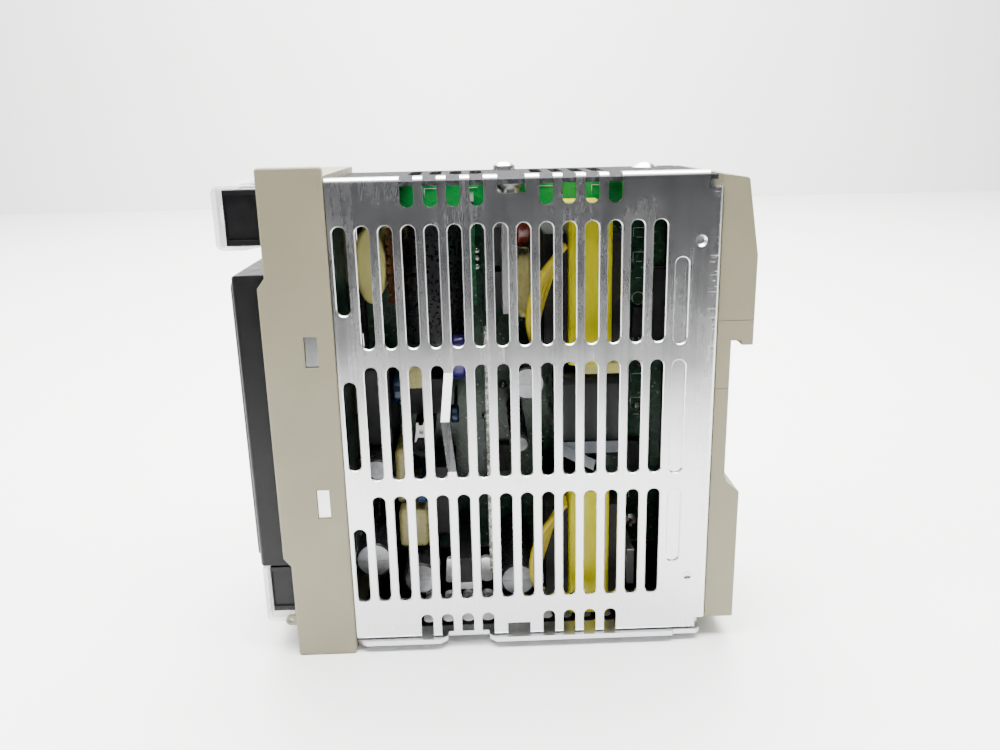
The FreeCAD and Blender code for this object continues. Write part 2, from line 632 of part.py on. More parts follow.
def pin_places():
    return ([(x, 106.6 - PIN_DROP) for x in UPPER_TERMINAL_X]
            + [(x, 17.2 - PIN_DROP) for x in LOWER_TERMINAL_X])


# ---------------------------------------------------------------- boards and components

def main_board():
    board = block(BOARD_X - BOARD, BOARD_X, -33.0, 48.0, 6.0, 110.5)
    holes = [rod((BOARD_X - 3, y, z), SIDE, 1.6, 5) for y in POST_Y for z in POST_Z]
    return cut(board, holes)


def insulation_sheet():
    sheet = block(-22.9, -22.5, -33.2, 48.2, 4.2, 111.5)
    holes = [rod((-24, y, z), SIDE, 2.9, 3) for y in POST_Y for z in POST_Z]
    return cut(sheet, holes)


def standoffs():
    """Pressed-in posts, flush with the outside of the far wall."""
    pieces = []
    for y in POST_Y:
        for z in POST_Z:
            post = rod((SHEET - PANEL_X, y, z), SIDE, 2.8, BOARD_X - BOARD + PANEL_X - SHEET)
            post = post.fuse(rod((-PANEL_X, y, z), SIDE, 1.55, SHEET + 0.2))
            pieces.append(post.cut(rod((-23.7, y, z), SIDE, 1.3, 4)).removeSplitter())
    return group(pieces)


def board_screws():
    """Small screws inside: six in the board's standoffs and two in the heat sink."""
    pieces = [pan_screw((BOARD_X, y, z), SIDE, 1.25, 3.4, 2.4, 1.5) for y in POST_Y for z in POST_Z]
    pieces += [pan_screw((4, 4.4, z), REAR, 1.25, 5.6, 2.3, 1.3) for z in (86.5, 97)]
    return group(pieces)


def transformer_core(z0, z1):
    """Two black ferrite legs beside the winding, joined behind it."""
    legs = [block(-15.0, 14.5, 12.6, 18.0, z0, z1), block(-15.0, 14.5, 28.3, 31.0, z0, z1)]
    web = block(-19.5, -15.0, 12.6, 31.0, z0, z1)
    core = fuse(legs + [web])
    return rounded(core, 0.6, lambda e: along(e, SIDE))


def winding_cap():
    """Black bobbin flange on top of the lower winding."""
    return block(-14.9, 16.0, 18.1, 28.2, 37.6, 39.0)


def transformer_winding(z0, z1):
    """Taped winding, with rounded long edges."""
    tape = block(-14.9, 17.0, 18.1, 28.2, z0, z1)
    return rounded(tape, 1.0, lambda e: along(e, UP) and e.CenterOfMass.x > 0)


def winding_end(z0, z1):
    """Pale bobbin end with a rounded rim."""
    disc = block(-14.9, 16.0, 21.4, 30.9, z0, z1)
    return rounded(disc, 1.1, lambda e: along(e, SIDE))


def taped_choke():
    body = block(-19.5, 13.0, 17.2, 31.0, 44.6, 66.8)
    return rounded(body, 3.0, lambda e: along(e, REAR) and e.CenterOfMass.x > 12)


def choke_tape():
    """Band of grey tape wrapped round the choke's lower end, with a loose tail."""
    loop = block(-18.0, 14.0, 16.2, 32.0, 46.6, 49.4).cut(block(-18.0, 13.4, 16.8, 31.4, 46, 50))
    loop = loop.cut(block(-18.1, -17.0, 16, 33, 46, 50))
    tail = prism([(16.2, 49.4), (16.2, 46.6), (24.4, 42.2), (25.0, 44.8)], 14.0, 14.5)
    return fuse([loop, tail])


def line_choke():
    """Cream bobbin: an oval drum with a rounded near end."""
    y, z, across, tall = CHOKE_OVAL
    oval = Part.Ellipse(V(-19.5, y, z + tall), V(-19.5, y + across, z), V(-19.5, y, z))
    drum = Part.Face(Part.Wire(oval.toShape())).extrude(V(34.0, 0, 0))
    return rounded(drum, 1.2, lambda e: abs(e.CenterOfMass.x - 14.5) < 0.01)


def choke_winding():
    """Thick enamelled turns beside the drum."""
    rings = []
    for index in range(TURNS):
        z0 = 84.9 + index * TURN_PITCH
        turn = block(-3.9, 12.5, -23.7, -20.2, z0, z0 + TURN_PITCH - 0.25)
        rings.append(rounded(turn, 0.8, lambda e: along(e, SIDE)))
    return cut(group(rings), [line_choke()])


def can(y, z, radius, top_x, spread):
    """Electrolytic capacitor pointing to the near side, on two leads: its sleeve and its top."""
    foot_x = BOARD_X + STAND_OFF
    length = top_x - foot_x
    sleeve = rod((foot_x, y, z), SIDE, radius, length)
    sleeve = rounded(sleeve, 0.5, lambda e: abs(e.CenterOfMass.x - top_x) < 0.01)
    sleeve = sleeve.cut(rod((top_x - 0.6, y, z), SIDE, radius - 0.5, 1))
    dy, dz = spread
    leads = [rod((BOARD_X, y + side * dy, z + side * dz), SIDE, 0.35, STAND_OFF) for side in (-1, 1)]
    sleeve = fuse([sleeve] + leads)
    top = rod((top_x - 0.6, y, z), SIDE, radius - 0.5, 0.45)
    bars = [block(top_x - 0.3, top_x + 1, y - radius, y + radius, z - 0.18, z + 0.18),
            block(top_x - 0.3, top_x + 1, y - 0.18, y + 0.18, z - radius, z + radius)]
    return sleeve, top.cut(Part.makeCompound(bars))


STAND_OFF = 1.8
CANS = ((-31.0, 18.9, 4.75, 13.0, (0, 2.5)), (-19.4, 13.2, 4.4, 13.0, (0, 2.5)),
        (8.8, 63.9, 4.2, 11.0, (0, 2.5)), (6.6, 48.3, 2.35, 11.0, (0, 1.2)),
        (-29.5, 40.8, 3.9, 9.0, (0, 2.5)), (5.6, 10.9, 4.6, 11.0, (3.6, 0)))


def capacitor_sleeves():
    return group([can(*spec)[0] for spec in CANS])


def capacitor_tops():
    return group([can(*spec)[1] for spec in CANS])


def film_capacitors():
    boxes = [(-19.5, 14.0, 6.4, 10.1, 80.8, 95.9), (-19.5, 11.0, -20.8, -16.4, 63.2, 68.8),
             (-19.5, 9.0, -24.6, -17.2, 20.2, 30.6), (-19.5, 5.0, -25.2, -22.4, 30.8, 45.4)]
    return group([rounded(block(*spec), 1.3, lambda e: e.CenterOfMass.x > -19) for spec in boxes])


def bulk_capacitor():
    """Large smoothing capacitor lying along the board."""
    sleeve = rod((-9.6, -13.6, 70.4), UP, 8.5, 34.0)
    sleeve = rounded(sleeve, 1.2, lambda e: True)
    return sleeve.cut(rod((-9.6, -13.6, 103.8), UP, 7.0, 2))


def disc_parts(y, z, radius, mid, thickness, legs_z):
    """Dipped disc component standing on two legs, its flat faces along Y."""
    body = Part.makeCylinder(radius, thickness, V(mid, y - thickness / 2, z), REAR)
    body = rounded(body, thickness * 0.3, lambda e: True)
    legs = [rod((BOARD_X, y, z + dz), SIDE, 0.4, mid - BOARD_X) for dz in legs_z]
    return fuse([body] + legs)


def disc_capacitors():
    """Blue and violet dipped discs."""
    return group([disc_parts(-7.9, 69.9, 5.6, 5.0, 4.0, (-4.4, -0.9)),
                  disc_parts(-18.6, 35.2, 3.4, 6.5, 3.0, (-1.8, 1.8)),
                  disc_parts(-9.6, 53.0, 2.4, -1.0, 2.2, (-1.4, 1.4)),
                  disc_parts(-24.2, 59.0, 4.0, -5.0, 2.6, (-1.8, 1.8))])


def daughter_board():
    return block(-19.5, 15.0, -1.7, -0.4, 15.6, 79.4)


def driver_board():
    return block(-19.5, 12.0, -4.4, -3.1, 84.0, 108.0)


def heatsinks():
    primary = block(-19.5, 13.0, 3.0, 4.4, 81.8, 102.6)
    secondary = block(-19.5, 8.0, 34.4, 36.2, 7.0, 17.0)
    plated = block(-19.5, 8.4, -9.8, -4.4, 7.3, 9.2)
    return group([cut(primary, [rod((4, 2, z), REAR, 1.3, 4) for z in (86.5, 97)]), secondary, plated])


def power_transistors():
    """Flat packages screwed to the heat sinks, on three legs each."""
    pieces = []
    for x, y0, z in ((4, -1.3, 86.5), (4, -1.3, 97)):
        y1 = y0 + 4.2
        package = block(x - 9, x + 4, y0, y1, z - 4.5, z + 4.5)
        package = package.cut(rod((x, y0 - 1, z), REAR, 1.4, 8))
        leads = [rod((BOARD_X, (y0 + y1) / 2, z + dz), SIDE, 0.45, x - 9 - BOARD_X) for dz in (-2.5, 0, 2.5)]
        pieces.append(package.fuse(leads))
    return group(pieces)


def rectifier():
    body = block(-19.5, 1.0, -32.0, -26.0, 45.4, 66.0)
    return rounded(body, 0.6, lambda e: along(e, REAR))


def small_chips():
    """Surface-mounted and dual-in-line packages on the main board."""
    spots = ((39.0, 44.0, 68, 76, 2.6), (38.5, 45.0, 30, 38, 2.6), (0.8, 5.0, 30, 38, 2.6),
             (33.8, 36.6, 60, 72, 2.6), (44.5, 48.0, 66, 87, 2.6), (-22.4, -11.5, 51.4, 61.0, 13.6),
             (-16.4, -10.2, 17.6, 37.0, 15.6), (-9.8, -4.4, 9.3, 15.9, 27.6))
    return group([block(BOARD_X, BOARD_X + tall, y0, y1, z0, z1) for y0, y1, z0, z1, tall in spots])


def nylon_clip():
    """White plastic clip with two prongs and a square eye."""
    outline = [(-19.4, 50.2), (-18.9, 53.0), (-18.8, 54.8), (-18.3, 54.8), (-18.2, 54.1), (-17.2, 54.1), (-17.1, 54.8),
               (-16.5, 54.8), (-16.3, 51.4), (-18.5, 51.4), (-19.0, 50.2)]
    head = prism(outline, 10.9, 12.4)
    foot = block(7.5, 11.0, -18.2, -17.2, 51.15, 52.0)
    return fuse([head, foot]).cut(block(10, 14, -18.1, -17.1, 52.3, 53.3))


def clip_pot():
    """Round dark inductor under the clip."""
    body = rod((BOARD_X, -17.7, 48.3), SIDE, 2.8, 30.2)
    body = rounded(body, 0.9, lambda e: e.CenterOfMass.x > 9)
    return body.cut(rod((10.0, -17.7, 48.3), SIDE, 1.2, 3))


def sleeved_leads(z):
    """Bundle of bowed insulated leads from a winding, starting at z, down to the board."""
    leads = []
    for index in range(4):
        x = 15.4 + 1.6 * index
        bow = 1.1 * index
        turn = z - 16 - 1.8 * index
        points = [V(x, 17.0, z), V(x, 15.2 - 0.5 * bow, z - 4), V(x, 13.2 - bow, z - 10),
                  V(x, 11.4 - 0.6 * bow, turn), V(x - 2, 10.9, turn - 3), V(x - 6, 10.9, turn - 4)]
        path = Part.BSplineCurve()
        path.interpolate(points)
        wire = Part.Wire(path.toShape())
        tangent = path.tangent(path.FirstParameter)[0]
        circle = Part.Wire(Part.makeCircle(LEAD_RADIUS, points[0], tangent))
        leads.append(wire.makePipeShell([circle], True, True))
    return leads


def case_parts():
    return {"front_bezel": front_bezel(), "side_panel": side_panel(), "chassis": chassis(),
            "case_screws": case_screws(), "case_rivet": case_rivet(), "rear_mount": rear_mount(),
            "rail_stopper": rail_stopper(), "stopper_spring": stopper_spring()}


def front_parts():
    parts = {"front_panel": front_panel(), "face_plate": face_plate(), "display_window": display_window(),
             "display_module": display_module(), "key_switches": key_switches(),
             "indicator_lenses": indicator_lenses(), "trimmer_body": trimmer_body(),
             "voltage_trimmer": voltage_trimmer(), "control_board": control_board(),
             "terminal_board": terminal_board(), "upper_terminal_cover": upper_cover(),
             "lower_terminal_cover": lower_cover()}
    for name, x in zip(("mode_key", "down_key", "up_key"), KEY_X):
        parts[name] = push_key(x)
    parts["upper_terminal_block"] = terminal_block(*UPPER_BLOCK_Z, UPPER_BLOCK_Y, UPPER_TERMINAL_X, 4.0, 106.6, True)
    parts["lower_terminal_block"] = terminal_block(*LOWER_BLOCK_Z, LOWER_BLOCK_Y, LOWER_TERMINAL_X, 4.6, 17.2, False)
    parts["terminal_clamps"] = group(terminal_clamps(UPPER_BLOCK_Y, UPPER_TERMINAL_X, 4.0, 106.6)
                                     + terminal_clamps(LOWER_BLOCK_Y, LOWER_TERMINAL_X, 4.6, 17.2))
    parts["terminal_pins"] = group(terminal_pins(UPPER_BLOCK_Y, UPPER_TERMINAL_X, 106.6)
                                   + terminal_pins(LOWER_BLOCK_Y, LOWER_TERMINAL_X, 17.2))
    for index, x in enumerate(UPPER_TERMINAL_X):
        parts["output_screw_%d" % (index + 1)] = terminal_screw(x, 106.6, UPPER_BLOCK_Y)
    for index, x in enumerate(LOWER_TERMINAL_X):
        parts["input_screw_%d" % (index + 1)] = terminal_screw(x, 17.2, LOWER_BLOCK_Y)
    return parts


def inner_parts():
    return {"main_board": main_board(), "insulation_sheet": insulation_sheet(), "board_standoffs": standoffs(),
            "board_screws": board_screws(),
            "transformer_cores": group([transformer_core(74.0, 100.5), transformer_core(8.0, 33.0),
                                        winding_cap()]),
            "transformer_windings": group([transformer_winding(69.9, 106.0), transformer_winding(4.4, 37.5)]),
            "winding_end": winding_end(67.4, 69.8), "taped_choke": taped_choke(), "choke_tape": choke_tape(),
            "line_choke_bobbin": line_choke(), "line_choke_winding": choke_winding(),
            "capacitor_sleeves": capacitor_sleeves(), "capacitor_tops": capacitor_tops(),
            "film_capacitors": film_capacitors(), "bulk_capacitor": bulk_capacitor(),
            "thermistor": disc_parts(8.4, 101.7, 5.2, 6.0, 4.0, (-1.8, 1.8)),
            "disc_capacitors": disc_capacitors(),
            "daughter_board": daughter_board(), "driver_board": driver_board(),
            "heatsinks": heatsinks(), "power_transistors": power_transistors(),
            "bridge_rectifier": rectifier(),
            "small_chips": small_chips(), "nylon_clip": nylon_clip(), "ring_inductor": clip_pot(),
            "winding_leads": group(sleeved_leads(98.5) + sleeved_leads(36.0))}


os.makedirs("parts", exist_ok=True)
ALL_PARTS = {**case_parts(), **front_parts(), **inner_parts()}
for node, shape in ALL_PARTS.items():
    shape.exportStep("parts/%s.step" % node)
print(len(ALL_PARTS), "nodes")
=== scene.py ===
import json
import math

import bmesh
import bpy
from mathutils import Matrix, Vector


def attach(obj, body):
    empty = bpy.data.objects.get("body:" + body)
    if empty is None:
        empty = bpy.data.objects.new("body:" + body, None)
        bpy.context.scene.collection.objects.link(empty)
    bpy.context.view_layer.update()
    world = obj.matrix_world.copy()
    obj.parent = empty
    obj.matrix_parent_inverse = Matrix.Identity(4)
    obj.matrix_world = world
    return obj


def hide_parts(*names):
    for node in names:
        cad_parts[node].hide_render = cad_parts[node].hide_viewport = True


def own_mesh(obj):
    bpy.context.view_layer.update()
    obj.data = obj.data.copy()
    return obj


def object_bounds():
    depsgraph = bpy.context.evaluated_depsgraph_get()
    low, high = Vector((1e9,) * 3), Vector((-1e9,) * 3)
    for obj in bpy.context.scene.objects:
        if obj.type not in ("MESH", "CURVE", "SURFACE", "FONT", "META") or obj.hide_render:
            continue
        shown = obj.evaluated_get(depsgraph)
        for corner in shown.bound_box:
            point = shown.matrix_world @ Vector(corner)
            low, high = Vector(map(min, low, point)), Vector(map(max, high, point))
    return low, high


# DIN rail power supply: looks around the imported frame. Metres, +Z up, front at -Y,
# the ventilated aluminium side at +X, which is the side that the camera sees.

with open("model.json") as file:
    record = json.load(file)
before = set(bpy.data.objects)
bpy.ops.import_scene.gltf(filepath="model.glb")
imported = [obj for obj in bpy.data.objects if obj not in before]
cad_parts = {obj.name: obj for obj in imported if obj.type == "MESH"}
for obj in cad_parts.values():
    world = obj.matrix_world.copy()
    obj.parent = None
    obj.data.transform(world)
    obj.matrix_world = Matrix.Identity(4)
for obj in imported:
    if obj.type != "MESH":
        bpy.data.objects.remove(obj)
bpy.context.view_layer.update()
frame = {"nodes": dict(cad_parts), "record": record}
NODES = frame["nodes"]
MM = 0.001

# Camera: close to the object, a little above it and looking down on the +X side.
CAMERA_PLACE = Vector((215, -3.0, 124.2)) * MM
CAMERA_TURN = tuple(math.radians(a) for a in (74.17, 1.24, 88.24))
CAMERA_LENS = 31.5

# Studio
TABLE_FRONT_X = 0.215       # the table ends here, towards the camera
TABLE_BACK_X = -1.3
TABLE_HALF = 1.3
BACKDROP_TOP_Z = 1.5
LIGHT_COLOR = (1.0, 0.985, 0.96)
CEILING_POWER = 104.0
WALL_POWER = 26.0
SIDE_POWER = 1.5
FRONT_POWER = 3.0
TABLE_POWER = 15.0
ROOM_PALE = (0.30, 0.31, 0.33)
ROOM_DARK = (0.035, 0.036, 0.040)

# Places on the object where a finish changes, or where painted shade or painted light begins
PANEL_REAR_Y = (0.0478, 0.0508)         # rubbed strip at the panel's rear bend
ROOF_Z = (0.1120, 0.1124)               # the chassis above this is roof
# painted shade: the inner floor and far wall are painted near-black inside these spans
FLOOR_SHADE_Z = (0.0030, 0.00305, 0.0033, 0.0036)
FLOOR_SHADE_END_X = (0.0185, 0.0190)
FAR_WALL_X = (-0.0233, -0.02325, -0.0210, -0.0205)
FAR_WALL_Z = (0.0036, 0.0040, 0.1110, 0.1115)
LIT_BOARD_TOP_Z = 0.1030                         # the main board is painted bright green above this, as painted light
BOARD_CUT_X = 0.015                     # the daughter board's raw edge starts here
VIOLET_Z = (0.0625, 0.0640)             # dipped discs above this are violet


# ------------------------------------------------------------------ node helpers

RANGE_SOCKETS = ("From Min", "From Max", "To Min", "To Max")


class Shader:
    """A node material with one Principled shader and small helpers to feed it."""

    def __init__(self, name, color, rough, metal=0.0, **fixed):
        self.material = bpy.data.materials.new(name)
        self.material.use_nodes = True
        self.tree = self.material.node_tree
        self.bsdf = self.tree.nodes["Principled BSDF"]
        self.bsdf.inputs["Base Color"].default_value = (*color, 1.0)
        self.bsdf.inputs["Roughness"].default_value = rough
        self.bsdf.inputs["Metallic"].default_value = metal
        for socket, value in fixed.items():
            self.bsdf.inputs[socket.replace("_", " ")].default_value = value
        self.place = self.node("ShaderNodeTexCoord").outputs["Object"]
        self.height = None

    def node(self, kind, **values):
        made = self.tree.nodes.new(kind)
        for key, value in values.items():
            if key in made.inputs:
                made.inputs[key].default_value = value
            else:
                setattr(made, key, value)
        return made

    def link(self, out, socket):
        self.tree.links.new(out, socket)

    def scaled(self, scale, shift=(0, 0, 0)):
        mapping = self.node("ShaderNodeMapping")
        mapping.inputs["Scale"].default_value = scale
        mapping.inputs["Location"].default_value = shift
        self.link(self.place, mapping.inputs["Vector"])
        return mapping.outputs["Vector"]

    def noise(self, scale, detail=4.0, rough=0.55, shift=(0, 0, 0)):
        stretch = scale if isinstance(scale, tuple) else (scale, scale, scale)
        node = self.node("ShaderNodeTexNoise", Scale=1.0, Detail=detail, Roughness=rough)
        self.link(self.scaled(stretch, shift), node.inputs["Vector"])
        return node.outputs["Fac"]

    def cells(self, scale, feature="F1"):
        stretch = scale if isinstance(scale, tuple) else (scale, scale, scale)
        node = self.node("ShaderNodeTexVoronoi", Scale=1.0)
        node.feature = feature
        self.link(self.scaled(stretch), node.inputs["Vector"])
        return node.outputs["Distance"]

    def span(self, value, low, high, to_low=0.0, to_high=1.0):
        node = self.node("ShaderNodeMapRange")
        for socket, number in zip(RANGE_SOCKETS, (low, high, to_low, to_high)):
            node.inputs[socket].default_value = number
        self.link(value, node.inputs["Value"])
        return node.outputs["Result"]

    def maths(self, operation, a, b):
        node = self.node("ShaderNodeMath", operation=operation)
        for socket, value in zip(node.inputs, (a, b)):
            if isinstance(value, (int, float)):
                socket.default_value = value
            else:
                self.link(value, socket)
        return node.outputs["Value"]

    def axis(self, index):
        node = self.node("ShaderNodeSeparateXYZ")
        self.link(self.place, node.inputs["Vector"])
        return node.outputs[index]

    def past(self, index, start, end):
        """0 before start and 1 after end, along one axis."""
        return self.span(self.axis(index), start, end)

    def before(self, index, start, end):
        """1 before start and 0 after end, along one axis."""
        return self.span(self.axis(index), start, end, 1.0, 0.0)

    def band(self, index, rise, risen, fall, fallen):
        """1 between risen and fall, along one axis."""
        return self.maths("MULTIPLY", self.past(index, rise, risen), self.before(index, fall, fallen))

    def mix(self, factor, a, b):
        """Colour between a and b; each is a colour or another mix's output."""
        node = self.node("ShaderNodeMix", data_type="RGBA")
        self.link(factor, node.inputs["Factor"])
        for name, value in (("A", a), ("B", b)):
            socket = [s for s in node.inputs if s.name == name and s.type == "RGBA"][0]
            if isinstance(value, tuple):
                socket.default_value = (*value, 1.0)
            else:
                self.link(value, socket)
        return [s for s in node.outputs if s.type == "RGBA"][0]

    def color(self, out):
        self.link(out, self.bsdf.inputs["Base Color"])

    def rough(self, out):
        self.link(out, self.bsdf.inputs["Roughness"])

    def bump(self, out, distance, strength=1.0):
        node = self.node("ShaderNodeBump", Strength=strength, Distance=distance)
        self.link(out, node.inputs["Height"])
        if self.height is not None:
            self.link(self.height, node.inputs["Normal"])
        self.height = node.outputs["Normal"]
        self.link(self.height, self.bsdf.inputs["Normal"])


def darker(color, factor):
    return tuple(channel * factor for channel in color)


# ------------------------------------------------------------------ materials

def moulded(name, color, rough, grain=2600.0, depth=0.00002, mottle=0.06, **fixed):
    """Injection-moulded plastic: spark-eroded grain, slight tone drift and handling marks."""
    s = Shader(name, color, rough, **fixed)
    drift = s.noise(38.0, 3.0)
    marks = s.noise((900.0, 120.0, 260.0), 5.0, 0.7)
    dull, bright = darker(color, 1 - mottle), darker(color, 1 + mottle * 0.5)
    tone = s.mix(s.span(drift, 0.35, 0.65), dull, bright)
    s.color(s.mix(s.span(marks, 0.66, 0.8, 0.0, 0.18), tone, darker(color, 0.72)))
    s.rough(s.span(s.noise(420.0, 4.0), 0.3, 0.7, rough - 0.06, rough + 0.07))
    s.bump(s.noise(grain, 2.0, 0.6), depth)
    return s.material


def sheet_metal(name, color, rough, streak=(60.0, 1500.0, 14.0)):
    """Mill-finish aluminium: gloss streaks along the rolling direction, dull spots, pits."""
    s = Shader(name, color, rough, 1.0)
    lines = s.noise(streak, 2.0, 0.5)
    blotch = s.noise(46.0, 4.0, 0.6)
    pits = s.cells(720.0)
    tone = s.mix(s.span(blotch, 0.42, 0.75, 0.0, 0.35), color, darker(color, 0.86))
    tone = s.mix(s.span(pits, 0.0, 0.12, 0.10, 0.0), tone, darker(color, 0.55))
    s.color(tone)
    streaks = s.span(lines, 0.3, 0.7, rough - 0.015, rough + 0.02)
    s.rough(s.maths("ADD", streaks, s.span(blotch, 0.4, 0.7, 0.0, 0.07)))
    return s


def scuffed_panel():
    """The side panel: the same metal with rub marks along its rear bend and stray scratches."""
    s = sheet_metal("panel aluminium", (0.70, 0.705, 0.715), 0.23)
    rear = s.past(1, *PANEL_REAR_Y)
    ticks = s.span(s.noise((900.0, 420.0, 2600.0), 4.0, 0.75), 0.58, 0.66)
    stray = s.span(s.noise((300.0, 420.0, 1900.0), 6.0, 0.8), 0.72, 0.78, 0.0, 0.15)
    rubbed = s.maths("MULTIPLY", rear, ticks)
    scuff = s.maths("MAXIMUM", rubbed, stray)
    base = s.bsdf.inputs["Base Color"].links[0].from_socket
    s.color(s.mix(scuff, base, (0.96, 0.97, 0.98)))
    s.bump(rubbed, 0.00003, 0.7)
    return s.material


def case_sheet():
    """The chassis: a dull roof painted near-black with a fine speckle, and near-black on the inner floor
    and far wall; both are painted shade.
    """
    s = sheet_metal("case aluminium", (0.72, 0.73, 0.745), 0.36)
    base = s.bsdf.inputs["Base Color"].links[0].from_socket
    # painted shade: the roof is painted near-black with a fine speckle, though it is the same aluminium
    # as the rest
    grain = s.span(s.noise((1500.0, 900.0, 900.0), 5.0, 0.7), 0.45, 0.6)
    painted_roof_shade = s.mix(grain, (0.016, 0.017, 0.019), (0.055, 0.057, 0.062))
    roof = s.past(2, *ROOF_Z)
    # painted shade: near-black on the inner floor and far wall, where little light gets in
    painted_inner_shade = s.maths("MULTIPLY", s.band(2, *FLOOR_SHADE_Z), s.before(0, *FLOOR_SHADE_END_X))
    far = s.maths("MULTIPLY", s.band(0, *FAR_WALL_X), s.band(2, *FAR_WALL_Z))
    painted_inner_shade = s.maths("MAXIMUM", painted_inner_shade, far)
    s.color(s.mix(painted_inner_shade, s.mix(roof, base, painted_roof_shade), (0.03, 0.03, 0.03)))
    s.link(s.span(roof, 0.0, 1.0, 1.0, 0.0), s.bsdf.inputs["Metallic"])
    s.link(s.span(roof, 0.0, 1.0, 0.5, 0.05), s.bsdf.inputs["Specular IOR Level"])
    s.rough(s.span(roof, 0.0, 1.0, 0.36, 0.8))
    return s.material


def circuit_board(name, mask, track, scale=330.0, lit_top_z=None, cut_edge=None):
    """Solder resist over tracks, with plated pads; lit_top_z is a height above which the board is painted
    bright green as painted light, cut_edge an x beyond which the raw laminate shows."""
    s = Shader(name, mask, 0.32, Coat_Weight=0.25, Coat_Roughness=0.18)
    routes = s.cells((scale, scale, scale), "DISTANCE_TO_EDGE")
    tracks = s.span(routes, 0.05, 0.085, 1.0, 0.0)
    pads = s.span(s.cells(520.0), 0.13, 0.16, 1.0, 0.0)
    tone = s.mix(s.span(s.noise(60.0, 3.0), 0.35, 0.65), darker(mask, 0.8), mask)
    tone = s.mix(tracks, tone, track)
    tone = s.mix(s.maths("MULTIPLY", pads, 0.5), tone, (0.30, 0.32, 0.26))
    if lit_top_z:
        # painted light: above this height the board is painted bright green
        tone = s.mix(s.past(2, lit_top_z, lit_top_z + 0.0008), tone, (0.010, 0.42, 0.075))
    if cut_edge:
        fibres = s.span(s.noise((1500.0, 1500.0, 1100.0), 4.0, 0.8), 0.46, 0.56)
        grit = s.mix(fibres, (0.10, 0.12, 0.09), (0.66, 0.68, 0.60))
        tone = s.mix(s.past(0, cut_edge - 0.0002, cut_edge - 0.0001), tone, grit)
    s.color(tone)
    s.bump(s.maths("ADD", tracks, pads), 0.00003)
    return s.material


def tape(name, color, rough):
    """Polyester tape in overlapping turns, slightly wrinkled."""
    s = Shader(name, color, rough, Coat_Weight=0.10, Coat_Roughness=0.15, Specular_IOR_Level=0.3)
    turns = s.noise((14.0, 1500.0, 10.0), 2.0)
    wrinkle = s.noise((240.0, 520.0, 90.0), 3.0, 0.6)
    s.color(s.mix(s.span(wrinkle, 0.35, 0.7), darker(color, 0.82), color))
    s.bump(turns, 0.00004, 0.5)
    s.bump(wrinkle, 0.0003, 0.35)
    return s.material


def dipped(name, color, rough=0.28):
    """Epoxy-dipped part: glossy, with sags in the coating."""
    s = Shader(name, color, rough, Coat_Weight=0.3, Coat_Roughness=0.1)
    sag = s.noise(170.0, 2.0)
    s.color(s.mix(s.span(sag, 0.3, 0.7), darker(color, 0.86), color))
    s.bump(sag, 0.0006, 0.5)
    s.rough(s.span(s.noise(900.0), 0.3, 0.7, rough - 0.05, rough + 0.08))
    return s.material


def plated(name, color, rough):
    """Plated steel or brass: bright, with faint turning marks and stains."""
    s = Shader(name, color, rough, 1.0)
    stain = s.noise(500.0, 4.0)
    s.color(s.mix(s.span(stain, 0.45, 0.8), color, darker(color, 0.62)))
    s.rough(s.span(s.noise(1500.0), 0.3, 0.7, rough - 0.05, rough + 0.1))
    s.bump(s.noise(2400.0, 3.0), 0.00001, 0.6)
    return s.material


def clear_plastic(name, tint, rough=0.05):
    """Clear moulded guard, with faint flow lines and rub marks."""
    s = Shader(name, tint, rough, Transmission_Weight=0.96, IOR=1.49)
    rub = s.noise((260.0, 900.0, 180.0), 5.0, 0.7)
    s.rough(s.span(rub, 0.45, 0.75, rough, rough + 0.22))
    s.bump(s.noise(90.0, 2.0), 0.00015, 0.4)
    s.color(s.mix(s.span(rub, 0.5, 0.8, 0.0, 0.6), tint, darker(tint, 0.93)))
    return s.material


def milky_cover():
    """Thin clear guard: see-through face on, milky where a wall is seen along its length."""
    s = Shader("clear guard", (0.60, 0.62, 0.64), 0.16, Coat_Weight=0.5, Coat_Roughness=0.05)
    facing = s.node("ShaderNodeLayerWeight", Blend=0.32).outputs["Facing"]
    haze = s.noise((70.0, 160.0, 60.0), 4.0, 0.6)
    cover = s.maths("ADD", s.span(facing, 0.15, 0.95, 0.15, 0.80), s.span(haze, 0.4, 0.75, 0.0, 0.10))
    s.link(cover, s.bsdf.inputs["Alpha"])
    s.bump(haze, 0.0002, 0.3)
    return s.material


def ferrite(name, color, rough=0.5):
    """Sintered core: dark, dry and slightly pitted."""
    s = Shader(name, color, rough, Specular_IOR_Level=0.2)
    s.color(s.mix(s.span(s.noise(700.0, 5.0), 0.3, 0.7), darker(color, 0.7), darker(color, 1.4)))
    s.bump(s.cells(1300.0), 0.00001, 0.4)
    return s.material


def enamelled_wire(name, color):
    s = Shader(name, color, 0.22, 0.85, Coat_Weight=0.5, Coat_Roughness=0.08)
    s.color(s.mix(s.span(s.noise(800.0, 3.0), 0.35, 0.7), darker(color, 0.7), color))
    s.bump(s.noise(1500.0), 0.00002, 0.5)
    return s.material


def pale_table():
    s = Shader("table", (0.86, 0.865, 0.87), 0.45)
    s.color(s.mix(s.span(s.noise(2.2, 3.0), 0.3, 0.7), (0.84, 0.845, 0.85), (0.88, 0.885, 0.89)))
    s.bump(s.noise(700.0, 3.0), 0.00004, 0.3)
    return s.material


def blue_dip():
    """Blue dip coat, violet on the parts high on the board."""
    s = Shader("blue epoxy", (0.02, 0.07, 0.24), 0.25, Coat_Weight=0.3, Coat_Roughness=0.1)
    sag = s.noise(170.0, 2.0)
    high = s.past(2, *VIOLET_Z)
    blue = s.mix(s.span(sag, 0.3, 0.7), (0.007, 0.022, 0.075), (0.010, 0.035, 0.10))
    s.color(s.mix(high, blue, (0.022, 0.014, 0.16)))
    s.bump(sag, 0.0006, 0.5)
    return s.material


